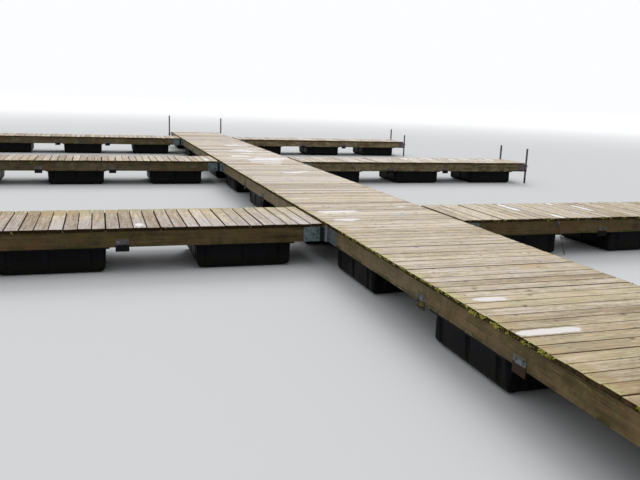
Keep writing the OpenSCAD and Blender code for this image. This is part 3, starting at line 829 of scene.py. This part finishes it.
def lay_boards(node, boards):
    """Boards across one deck, as a section carried along every board. Gives them and their nails' places.

    A point is the section's own place, moved along the board by its station. Each board is set
    lower, shifted, tipped, twisted, crowned and cut shorter by random amounts that stay inside the
    slab it replaces. Its top is lowered by how far it settles, less its crown times the square of the
    way to its edge, and less its slope at the station times the distance from its middle line.
    """
    low, high = (np.array(c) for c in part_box(node))
    on_walkway = node.startswith("walkway")
    near_bay = node == "walkway_deck_1"
    run, span = (1, 0) if on_walkway else (0, 1)
    gap = boards.gap if on_walkway else boards.finger_gap
    bay = high[run] - low[run] - 2 * boards.joint
    count = max(1, round(bay / (boards.wide_pitch if near_bay else boards.pitch)))
    pitch = bay / count
    width = pitch - gap
    depth = DECK_TOP - DECK_UNDER
    board_span = high[span] - low[span]
    section, section_dirt_and_shade = board_profile(width, depth, boards.arris, EDGE_DIRT_AND_SHADE[0 if on_walkway else 1])
    across, rise = section.T
    share, drawn_in = stations(board_span, depth)
    centre = low[run] + boards.joint + (np.arange(count) + 0.5) * pitch

    # How each board lies in its place
    rng = np.random.default_rng(SEED + sum(map(ord, node)))
    sink = rng.uniform(0.1, 1.0, count) ** 2 * boards.uneven
    slide = rng.uniform(-0.42, 0.42, count) * gap
    tip = rng.normal(0.0, 0.004, count).clip(-0.009, 0.009)
    twist = rng.normal(0.0, 0.007, count).clip(-0.016, 0.016)
    crown = rng.uniform(-0.4, 1.0, count) * 0.0016
    cut = rng.uniform(0.0, 1.0, (2, count)) ** 1.6 * boards.ragged
    sweep = rng.uniform(-0.07, 0.07, count) * gap
    wave = rng.uniform(0.0, 6.28, count)

    # Points of the boards
    start = low[span] + cut[0][:, None]
    end = high[span] - cut[1][:, None]
    along = start + (end - start) * share
    bow = sweep[:, None] * np.cos(share * math.pi * 2 + wave[:, None])
    up = rise * drawn_in
    aside = (2 * across / width) ** 2
    settle = sink + (np.abs(tip) + np.abs(twist)) * width / 2 + np.abs(crown)
    slope = tip[:, None] + twist[:, None] * (2 * share - 1)
    on_top = rise > -boards.arris * 1.5
    points = np.zeros((count, len(share), len(section), 3))
    points[..., span] = along[..., None]
    points[..., run] = by_board(centre + slide) + across * drawn_in + bow[..., None]
    lowered = by_board(settle) - by_board(crown) * aside - slope[..., None] * across
    points[..., 2] = DECK_TOP + up - on_top * lowered

    # Attributes that the materials read
    usual_tone, spread, low_hue, top_hue, lean, pale = WEATHER.get(node, USUAL_WEATHER)
    tone = rng.normal(usual_tone, spread, count).clip(0.15, 1.25)
    hue = rng.uniform(low_hue, top_hue, count)
    if near_bay:
        tone += NEAR_BAY_RISE[0] * np.linspace(-0.5, 0.5, count)
        hue += NEAR_BAY_RISE[1] * np.linspace(-0.5, 0.5, count)
    shift = rng.uniform(0.0, 40.0, (2, count))
    grain = np.zeros(points.shape)
    grain[..., 0] = along[..., None] + by_board(shift[0])
    grain[..., 1] = across - up + by_board(shift[1])
    grain[..., 2] = by_board(np.arange(count))
    # How wet each station lies, which also sets the painted glare of the sky's reflection on it
    wet = run_mask(WET_GLARE_RUNS.get(node, []), centre, along)
    reach, glare_pools = WET_GLARE_POOLS.get(node, (0.0, []))
    wet = np.maximum(wet, POOL_GLARE_STRENGTH * run_mask(glare_pools, centre, along, reach))
    fringe = (1 - np.minimum(share, 1 - share) * board_span / ALGAE_REACH).clip(0.0, 1.0)
    fringe *= np.where(share < 0.5, *(WALKWAY_ALGAE if on_walkway else FINGER_ALGAE))
    algae = rng.uniform(0.0, 1.0, count) ** 2
    spots = np.zeros(points.shape)
    spots[..., 0] = run_mask(STAINED_RUNS.get(node, []), centre, along)[..., None]
    spots[..., 1] = aside
    spots[..., 2] = (lean * (share - 0.5) + algae[:, None] * fringe)[..., None]
    ends = np.zeros((len(share), 1))
    ends[[0, -1]] = 1.0
    # How much dirt and painted shade each board takes on its sides and long edges
    dirt_and_shade_share = rng.uniform(0.5, 1.25, count)
    if not on_walkway:
        dirt_and_shade_share[0 if low[run] > 0 else -1] = 0.5
    facts = np.zeros((*points.shape[:3], 4))
    facts[..., 0] = by_board(tone)
    facts[..., 1] = by_board(hue)
    facts[..., 2] = wet[..., None]
    facts[..., 3] = np.maximum(section_dirt_and_shade * by_board(dirt_and_shade_share), ends)
    finger_lines = [middle_of(f"finger_deck_{name}").y for name in FINGER_NAMES]
    sheltered = on_walkway & (np.abs(centre[:, None] - finger_lines).min(1) < SHELTER)
    paleness = np.broadcast_to(by_board(np.where(sheltered, 2.0, pale)), points.shape[:3])

    attributes = {
        "grain": ("FLOAT_VECTOR", "vector", grain),
        "board": ("FLOAT_COLOR", "color", facts),
        "spots": ("FLOAT_VECTOR", "vector", spots),
        "pale": ("FLOAT", "value", paleness),
    }
    faces, materials = board_faces(len(share), len(section), count, on_walkway)
    name = node.replace("deck", "boards")
    piece = build_mesh(name, points, faces, attributes, materials=materials)

    # Places of the nails
    stringers = stringer_lines(node)
    nails = np.array(NAILS) * width + rng.normal(0.0, NAIL_STRAY[0], (count, len(stringers), 2))
    reached = (stringers - start) / (end - start)
    nail_slope = tip[:, None] + twist[:, None] * (2 * reached - 1)
    nail_cup = by_board(crown) * (2 * nails / width) ** 2
    heads = np.zeros((*nails.shape, 3))
    heads[..., run] = by_board(centre + slide) + nails
    heads[..., span] = stringers[:, None] + rng.normal(0.0, NAIL_STRAY[1], nails.shape)
    heads[..., 2] = DECK_TOP - by_board(settle) + nail_cup + nail_slope[..., None] * nails
    return piece, heads.reshape(-1, 3)


def revolved(profile, columns, radius_share=1.0):
    """Dome or disc about its own Z axis, from pairs of radius and height. Gives its points and faces.

    A point lies at its radius times the share for its ring and angle. The first ring is closed by one
    flat face and the last by a fan to a point on the axis.
    """
    angle = np.arange(columns) / columns * 2 * math.pi
    radius = profile[:, :1] * radius_share * np.ones(columns)
    height = np.broadcast_to(profile[:, 1:], radius.shape)
    rows = np.stack([radius * np.cos(angle), radius * np.sin(angle), height], -1)
    points = np.concatenate([rows.reshape(-1, 3), [[0.0, 0.0, profile[-1, 1]]]])
    quads = closed_strip(len(profile), columns)
    last = (len(profile) - 1) * columns
    here = np.arange(columns)
    tip = np.stack([last + here, last + (here + 1) % columns, np.full(columns, len(points) - 1)], 1)
    return points, [quads, tip, here[None, ::-1]]


def placed(shape, places, directions, scales=None):
    """Copies of one shape, each scaled, turned to face a direction, and moved to its place.

    A turn carries +Z to its direction and keeps the new X axis level.
    """
    points, face_sets = shape
    z = directions / np.linalg.norm(directions, axis=1, keepdims=True)
    guide = np.where(np.abs(z[:, 2:]) > 0.9, [[0.0, 1.0, 0.0]], [[0.0, 0.0, 1.0]])
    x = np.cross(guide, z)
    x /= np.linalg.norm(x, axis=1, keepdims=True)
    turns = np.stack([x, np.cross(z, x), z], -1)
    scales = np.ones((len(places), 3)) if scales is None else scales
    spread = np.einsum("nij,nkj->nki", turns, points[None] * scales[:, None, :]) + places[:, None, :]
    return spread, [repeated(faces, len(points), len(places)) for faces in face_sets]


def nail_heads(name, places, diameter):
    """Round heads set flush in the boards, as low domes of three rings."""
    r = diameter / 2
    profile = np.array([[r, -0.003], [r, 0.0], [0.8 * r, 0.0006]])
    up = np.tile([0.0, 0.0, 1.0], (len(places), 1))
    points, faces = placed(revolved(profile, 7), places, up)
    return build_mesh(name, points, faces, smooth=True)


def bolt_shape(flats):
    """Washer with a hexagonal head on it: the head's radius follows flats / 2 / cos of its angle."""
    columns = 12
    angle = np.arange(columns) / columns * 2 * math.pi
    turned = (angle + math.pi / 6) % (math.pi / 3) - math.pi / 6
    profile = np.array([
        [0.80, -0.10], [0.80, 0.10], [0.78, 0.12], [0.50, 0.13], [0.50, 0.42], [0.44, 0.50],
    ]) * flats
    share = np.ones((len(profile), columns))
    share[3:5] = 1 / np.cos(turned)
    return revolved(profile, columns, share)


def bolt_places():
    """Places of the bolt heads and the directions they face, from the frame's own boxes."""
    places, facings = [], []

    def fit(x, y, z, facing):
        """Fits bolts at every mix of the given places along X, Y and Z, all facing one way."""
        mix = np.stack(np.meshgrid(x, y, z), -1).reshape(-1, 3)
        places.append(mix)
        facings.append(np.tile(facing, (len(mix), 1)))

    rows_up = (FRAME_UNDER + BOLT_INSET, DECK_UNDER - BOLT_INSET)
    side_up = FRAME_UNDER + SIDE_BOLT_RISE
    for name in FINGER_NAMES:
        low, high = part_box(f"finger_frame_{name}")
        out = 1.0 if low.x > 0 else -1.0
        end = high.x if out > 0 else low.x
        hinge = out * (FRAME_HIGH.x + HINGE_PIN)
        middle = (low.x + high.x) / 2 + out * MIDDLE_FLOAT_SHIFT.get(name, 0.0)
        for face, away in ((low.y, -1.0), (high.y, 1.0)):
            skin, sideways, outward = face + away * PLATE, (0.0, away, 0.0), (out, 0.0, 0.0)
            fit(hinge + out * FINGER_LEAF_BOLTS, skin, rows_up, sideways)
            fit(end - out * POLE_BRACKET_BOLTS, skin, rows_up, sideways)
            fit(middle + np.add.outer(SIDE_PLATES, SIDE_PLATE_BOLTS), skin, side_up, sideways)
            pin = face + away * HINGE_PIN
            fit(out * (FRAME_HIGH.x + PLATE), pin + away * WALKWAY_LEAF_BOLTS, rows_up, outward)
            fit(end + out * PLATE, face - away * OUTER_END_BOLT, rows_up, outward)
    for n in SECTIONS:
        low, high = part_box(f"walkway_frame_{n}")
        for face, out in ((low.x, -1.0), (high.x, 1.0)):
            skin, outward = face + out * PLATE, (out, 0.0, 0.0)
            if n < len(SECTIONS):
                plates = (low.y + high.y) / 2 + np.add.outer(SIDE_PLATES, SIDE_PLATE_BOLTS)
                fit(skin, plates, side_up, outward)
                fit(skin, high.y + JOINT_PLATE_BOLTS, (side_up, DECK_UNDER - SIDE_BOLT_RISE), outward)
            else:
                fit(skin, high.y - END_BRACKET_BOLTS, rows_up, outward)
    return np.concatenate(places), np.concatenate(facings)


def tuft_shape():
    """Low moss cushion: a dome whose edge curls under, with its radius waving round it.

    Gives its points and faces, and how far up the tuft each point lies, from 0 to 1.
    """
    columns = 7
    angle = np.arange(columns) / columns * 2 * math.pi
    lobes = 1 + 0.20 * np.sin(2 * angle) + 0.14 * np.cos(3 * angle)
    profile = np.array([[0.80, -0.45], [1.0, 0.10], [0.62, 0.62]])
    rise = np.concatenate([np.repeat([0.0, 0.45, 0.9], columns), [1.0]])
    return revolved(profile, columns, lobes), rise


def moss_beds():
    """Board ends on which moss grows.

    Each is given as the axis across the edge, its face, its outward sign, its start and end, the
    number of clumps and of tufts, how wide the clumps spread along the edge, the tufts' share of their
    usual size, and how far up the board ends the clumps lie.
    """
    left, right = DECK_LOW.x, DECK_HIGH.x
    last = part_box("walkway_deck_4")[1].y
    beds = [
        (0, left, -1.0, -10.42, -9.3, 7, 520, 0.020, 0.80, 0.35),
        (0, left, -1.0, -9.3, -6.4, 24, 1150, 0.017, 0.66, 0.75),
        (0, left, -1.0, -11.09, -10.97, 1, 50, 0.030, 0.80, 0.5),
        (0, left, -1.0, -13.0, -11.2, 4, 120, 0.020, 0.90, 0.5),
        (0, left, -1.0, -5.0, last, 90, 850, 0.022, 0.75, 0.8),
        (0, right, 1.0, -13.0, last, 60, 600, 0.020, 0.85, 0.5),
    ]
    for name in FINGER_NAMES:
        low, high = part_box(f"finger_deck_{name}")
        beds.append((1, low.y, -1.0, low.x, high.x, 5, 20, 0.014, 0.7, 0.3))
        beds.append((1, high.y, 1.0, low.x, high.x, 5, 40, 0.017, 0.8, 0.5))
        if name == "right_1":
            beds.append((1, low.y, -1.0, low.x, (low.x + high.x) / 2, 16, 260, 0.022, 0.6, 0.5))
    return beds


def moss_places(tuft):
    """Places, directions and sizes of the tufts: clumps round random spots along each bed.

    A clump is an oval heap on the board ends, somewhere between the deck's underside and its top. Its
    tufts lie round its middle by a normal spread, and lean outwards and up.
    """
    rng = np.random.default_rng(SEED + 2)
    places, normals, sizes = [], [], []
    for across, face, out, start, end, clumps, count, spread, share, height in moss_beds():
        along = 1 - across
        middle = start + (end - start) * (np.arange(clumps) + rng.uniform(0.1, 0.9, clumps)) / clumps
        half = rng.lognormal(0.0, 0.35, clumps) * spread
        level = DECK_UNDER + (DECK_TOP - DECK_UNDER) * (height + rng.uniform(-0.2, 0.2, clumps))
        clump = rng.choice(clumps, count, p=half / half.sum())
        stray = rng.random(count) < STRAY_TUFTS
        spot = middle[clump] + rng.normal(0.0, 1.0, count) * half[clump]
        spot = np.where(stray, rng.uniform(start, end, count), spot)
        place = np.zeros((count, 3))
        place[:, across] = face - out * rng.uniform(0.001, 0.006, count)
        place[:, along] = spot.clip(start + 0.02, end - 0.02)
        up = level[clump] + rng.normal(0.0, 0.009, count) * share
        place[:, 2] = up.clip(DECK_UNDER - 0.004, DECK_TOP - 0.007)
        normal = np.zeros((count, 3))
        normal[:, across] = out
        normal[:, along] = rng.normal(0.0, 0.3, count)
        normal[:, 2] = rng.uniform(-0.1, 0.9, count)
        places.append(place)
        normals.append(normal)
        sizes.append(rng.lognormal(0.0, 0.35, count) * tuft * share)
    place = np.zeros((FOOT_TUFTS, 3))
    place[:, 0] = FRAME_LOW.x - PLATE + 0.002
    place[:, 1] = MOSSY_FOOT + rng.normal(0.0, 0.032, FOOT_TUFTS)
    place[:, 2] = FRAME_UNDER + rng.normal(-0.012, 0.010, FOOT_TUFTS)
    places.append(place)
    normals.append(np.tile([-1.0, 0.0, 0.3], (FOOT_TUFTS, 1)))
    sizes.append(rng.lognormal(0.0, 0.3, FOOT_TUFTS) * tuft * 0.75)
    return np.concatenate(places), np.concatenate(normals), np.concatenate(sizes).clip(0.003, 0.014)


def turned(yaw, pitch, roll=0.0):
    """Turn of a camera or a sun, by its yaw to the right of +Y, its pitch down and its roll, in degrees."""
    turns = ((-yaw, "Z"), (90.0 - pitch, "X"), (roll, "Z"))
    first, second, third = (Matrix.Rotation(math.radians(angle), 4, axis) for angle, axis in turns)
    return first @ second @ third


class JETTY_OT_set_stage(bpy.types.Operator):
    """Set the floor, the lights and the camera"""

    bl_idname = "jetty.set_stage"
    bl_label = "Set stage"

    def execute(self, context):
        self.lay_floor()
        self.light_world(context)
        self.add_sun("back_light", azimuth=22.0, elevation=34.0, strength=0.95, spread=30.0)
        self.add_sun("fill_light", azimuth=60.0, elevation=70.0, strength=0.3, spread=50.0)
        self.add_camera(context)
        context.scene.view_settings.view_transform = "Standard"
        return {"FINISHED"}

    @staticmethod
    def lay_floor():
        """Pale square floor that fades to white far from the jetty, and lights it less than it shows."""
        reach = 160.0
        corners = np.array([[-1.0, -1.0, 0.0], [1.0, -1.0, 0.0], [1.0, 1.0, 0.0], [-1.0, 1.0, 0.0]])
        floor = build_mesh("floor", corners * reach, [np.array([[0, 1, 2, 3]])])
        dark, pale = (0.22, 0.225, 0.23), (0.86, 0.87, 0.88)
        look = Finish("pale_floor")
        seen = look.seen_ray()
        away = look.add("VectorMath", {0: look.place}, operation="LENGTH").outputs["Value"]
        haze = look.between(away, 16.0, 70.0, 0.0, 0.45)
        floor.data.materials.append(look.fill({
            "Base Color": look.blend(dark, pale, seen),
            "Emission Color": (1.0, 1.0, 1.0, 1.0),
            "Emission Strength": look.times(haze, seen),
            "Roughness": 0.9,
            "Specular IOR Level": 0.0,
        }))

    @staticmethod
    def light_world(context):
        """Soft even sky, seen as plain white by the camera and in reflections."""
        world = bpy.data.worlds.new("soft_sky")
        context.scene.world = world
        world.use_nodes = True
        nodes = Nodes(world.node_tree)
        strength = nodes.level(0.52, 1.0, nodes.seen_ray())
        sky = nodes.add("Background", {"Color": (0.97, 0.985, 1.0, 1.0), "Strength": strength})
        nodes.add("OutputWorld", {0: sky.outputs[0]})

    @staticmethod
    def add_sun(name, azimuth, elevation, strength, spread):
        """Sun light that comes from an azimuth, to the right of +Y, and an elevation."""
        data = bpy.data.lights.new(name, "SUN")
        data.energy = strength
        data.angle = math.radians(spread)
        new_object(name, data).matrix_world = turned(azimuth + 180.0, elevation)

    @staticmethod
    def add_camera(context):
        """Camera at the photograph's place."""
        data = bpy.data.cameras.new("camera")
        data.sensor_width = 36.0
        data.lens = CAMERA_LENS
        data.clip_end = 400.0
        camera = new_object("camera", data)
        camera.matrix_world = Matrix.Translation(CAMERA_PLACE) @ turned(*CAMERA_TURN)
        context.scene.camera = camera


class JETTY_OT_lay_boards(bpy.types.Operator):
    """Lay the deck boards and drive their nails"""

    bl_idname = "jetty.lay_boards"
    bl_label = "Lay boards"

    def execute(self, context):
        boards = context.scene.jetty_boards
        fittings = context.scene.jetty_fittings
        wood = board_material(boards)
        ends = end_material(boards)
        steel = zinc_material("nail_steel", fittings, fittings.nail_zinc, rusty=0.12)
        decks = [f"walkway_deck_{n}" for n in SECTIONS] + [f"finger_deck_{n}" for n in FINGER_NAMES]
        for node in decks:
            piece, nail_places = lay_boards(node, boards)
            give(piece, "deck_boards", wood, ends)
            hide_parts(node)
            nails = nail_heads(node.replace("deck", "nails"), nail_places, fittings.nail)
            give(nails, "galvanised_steel", steel)
        return {"FINISHED"}


class JETTY_OT_finish_frames(bpy.types.Operator):
    """Give the frames their damp timber"""

    bl_idname = "jetty.finish_frames"
    bl_label = "Finish frames"

    def execute(self, context):
        frames = context.scene.jetty_frames
        walkway = timber_material("walkway_timber", frames, frames.timber, along=1, drying=DRYING)
        near = timber_material("finger_timber", frames, frames.near_timber, along=0)
        for n in SECTIONS:
            refinish(f"walkway_frame_{n}", walkway)
        for side, timber in (("left", frames.left_timber), ("right", frames.right_timber)):
            paler = shade(timber, frames.far_paler)
            middle = timber_material(f"middle_{side}_timber", frames, timber, along=0)
            far = timber_material(f"far_{side}_timber", frames, paler, along=0)
            for n, material in enumerate((near, middle, far), 1):
                refinish(f"finger_frame_{side}_{n}", material)
        return {"FINISHED"}


class JETTY_OT_grow_moss(bpy.types.Operator):
    """Grow moss on the ends of the boards"""

    bl_idname = "jetty.grow_moss"
    bl_label = "Grow moss"

    def execute(self, context):
        frames = context.scene.jetty_frames
        places, normals, sizes = moss_places(frames.tuft)
        shape, rise = tuft_shape()
        scales = sizes[:, None] * [1.0, 1.0, 0.9]
        points, faces = placed(shape, places, normals, scales)
        facts = np.zeros(points.shape)
        facts[..., 0] = rise
        facts[..., 1] = np.random.default_rng(SEED + 3).random(len(places))[:, None]
        moss = build_mesh("moss", points, faces, {"tuft": ("FLOAT_VECTOR", "vector", facts)}, smooth=True)
        give(moss, "frame_timber", moss_material(frames))
        return {"FINISHED"}


class JETTY_OT_finish_floats(bpy.types.Operator):
    """Give the floats their moulded plastic"""

    bl_idname = "jetty.finish_floats"
    bl_label = "Finish floats"

    def execute(self, context):
        plastic = float_material(context.scene.jetty_fittings)
        for n in SECTIONS:
            refinish(f"walkway_floats_{n}", plastic)
        for name in FINGER_NAMES:
            refinish(f"finger_floats_{name}", plastic)
        return {"FINISHED"}


class JETTY_OT_finish_fittings(bpy.types.Operator):
    """Finish brackets, poles and chain, and fit the bolts"""

    bl_idname = "jetty.finish_fittings"
    bl_label = "Finish fittings"

    def execute(self, context):
        fittings = context.scene.jetty_fittings
        zinc = fittings.zinc
        poles = pole_material(fittings)
        dull = zinc_material("finger_plate_steel", fittings, zinc, 0.0, FINGER_PLATES, fittings.dull_zinc)
        worn = zinc_material("rusty_plate_steel", fittings, zinc, 0.12, FINGER_PLATES, fittings.worn_zinc)
        for name in FINGER_NAMES:
            refinish(f"finger_brackets_{name}", worn if name == "right_1" else dull)
            refinish(f"finger_poles_{name}", poles)
        refinish("walkway_end_poles", poles)
        middles = [middle_of(f"walkway_frame_{n}").y for n in SECTIONS[:-1]]
        dirty = [middle + at for middle in middles for at in SIDE_PLATES]
        steel = zinc_material("walkway_plate_steel", fittings, zinc, 0.02, plates_from=0.0, dirty=dirty)
        refinish("walkway_brackets", steel)
        refinish("mooring_chain", zinc_material("chain_steel", fittings, zinc, rusty=0.2))
        bolts = build_mesh("bolts", *placed(bolt_shape(fittings.bolt), *bolt_places()))
        steel = zinc_material("bolt_steel", fittings, fittings.bolt_zinc, rusty=0.07)
        give(bolts, "galvanised_steel", steel)
        return {"FINISHED"}


class JETTY_PT_sidebar(bpy.types.Panel):
    """Lists the steps that dress the jetty"""

    bl_idname = "JETTY_PT_sidebar"
    bl_label = "Jetty"
    bl_space_type = "VIEW_3D"
    bl_region_type = "UI"
    bl_category = "Jetty"

    def draw(self, context):
        for step in STEPS:
            self.layout.operator(step.bl_idname)


STEPS = [
    JETTY_OT_set_stage,
    JETTY_OT_lay_boards,
    JETTY_OT_finish_frames,
    JETTY_OT_grow_moss,
    JETTY_OT_finish_floats,
    JETTY_OT_finish_fittings,
]
SETTINGS = {
    "jetty_boards": JettyBoards,
    "jetty_frames": JettyFrames,
    "jetty_fittings": JettyFittings,
}


def register():
    """Registers the settings, the steps and the panel."""
    for name, group in SETTINGS.items():
        bpy.utils.register_class(group)
        setattr(bpy.types.Scene, name, bpy.props.PointerProperty(type=group))
    for step in [*STEPS, JETTY_PT_sidebar]:
        bpy.utils.register_class(step)


def unregister():
    """Takes away what register added."""
    for step in reversed([*STEPS, JETTY_PT_sidebar]):
        bpy.utils.unregister_class(step)
    for name, group in SETTINGS.items():
        delattr(bpy.types.Scene, name)
        bpy.utils.unregister_class(group)


def main():
    """Dresses the jetty step by step."""
    register()
    bpy.ops.jetty.set_stage()
    bpy.ops.jetty.lay_boards()
    bpy.ops.jetty.finish_frames()
    bpy.ops.jetty.grow_moss()
    bpy.ops.jetty.finish_floats()
    bpy.ops.jetty.finish_fittings()


if __name__ == "__main__":
    main()
